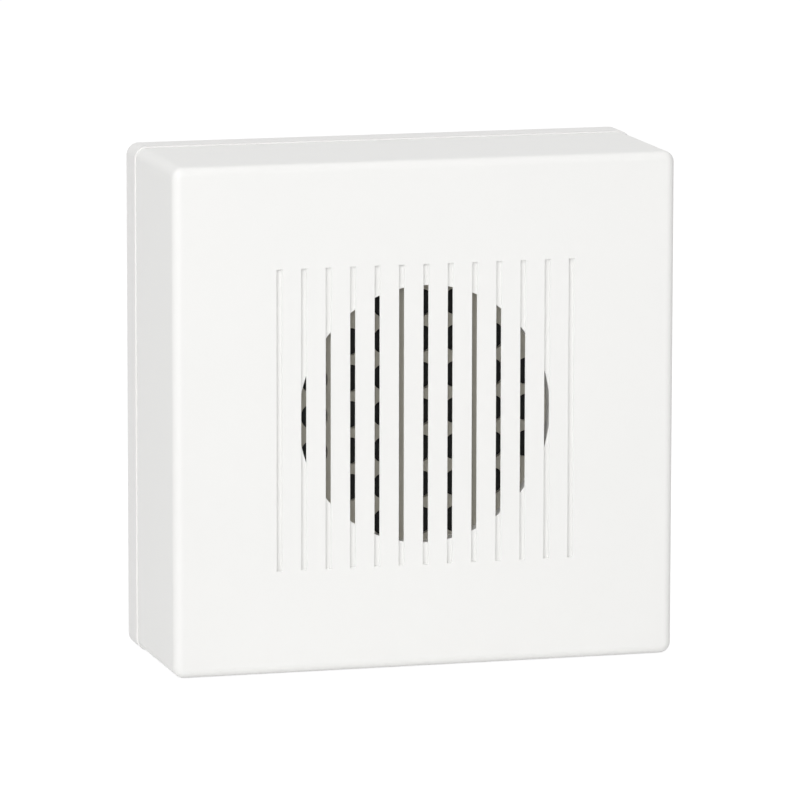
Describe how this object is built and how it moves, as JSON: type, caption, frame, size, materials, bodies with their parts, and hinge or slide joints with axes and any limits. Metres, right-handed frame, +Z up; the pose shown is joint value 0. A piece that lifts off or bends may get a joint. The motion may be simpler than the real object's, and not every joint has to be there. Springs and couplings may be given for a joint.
{
  "type": "doorbell chime box",
  "caption": "Square white wall-mounted doorbell chime box with a grooved front, a round slotted sound opening and a plunger chime inside.",
  "frame": {"origin": "centre of the flat back face that lies on the wall", "axes": "+Z up on the wall, +Y into the wall (the grooved front faces -Y), +X to the right as seen from the front"},
  "size_m": [0.1, 0.0378, 0.099],
  "materials": {
    "white_plastic": "white moulded ABS, fine satin gloss",
    "grey_plastic": "warm grey moulded guard plate, satin",
    "terminal_plastic": "ivory moulded terminal body",
    "bobbin_plastic": "black glass-filled nylon",
    "striker_nylon": "natural nylon, slightly translucent",
    "bar_steel": "nickel-plated flat steel, brushed lengthways",
    "yoke_steel": "zinc-plated bent strip",
    "plunger_steel": "turned and polished mild steel",
    "screw_steel": "bright zinc-plated screws and pins",
    "spring_steel": "spring wire and clip, bright drawn",
    "terminal_brass": "turned and stamped brass",
    "copper_wire": "enamelled copper winding wire",
    "rubber": "black rubber",
    "lead_sheath": "red insulated hook-up wire",
    "black_cloth": "thin black non-woven sound cloth"
  },
  "bodies": {
    "base": {"base": "white_plastic", "cable_grommet": "rubber", "tone_bar_high": "bar_steel", "tone_bar_low": "bar_steel", "bar_grommets": "rubber", "bar_pins": "screw_steel", "coil_yoke": "yoke_steel", "yoke_screws": "screw_steel", "coil_bobbin": "bobbin_plastic", "coil_winding": "copper_wire", "coil_sleeve": "terminal_brass", "coil_leads": "lead_sheath", "return_spring": "spring_steel", "terminal_block": "terminal_plastic", "terminal_block_screw": "screw_steel", "terminal_cages": "terminal_brass", "terminal_screws": "terminal_brass"},
    "cover": {"cover": "white_plastic", "guard_plate": "grey_plastic", "guard_screws": "screw_steel", "dust_cloth": "black_cloth"},
    "plunger": {"plunger_core": "plunger_steel", "plunger_clip": "spring_steel", "striker_left": "striker_nylon", "striker_right": "striker_nylon"}
  },
  "joints": [
    {"name": "plunger_slide", "type": "slide", "parent": "base", "child": "plunger", "axis": [1, 0, 0], "range_m": [-0.0027, 0.0047], "stiffness_N_per_m": 120, "deforming": ["return_spring"]},
    {"name": "cover_pull", "type": "slide", "parent": "base", "child": "cover", "axis": [0, -1, 0], "range_m": [0, 0.04]}
  ]
}
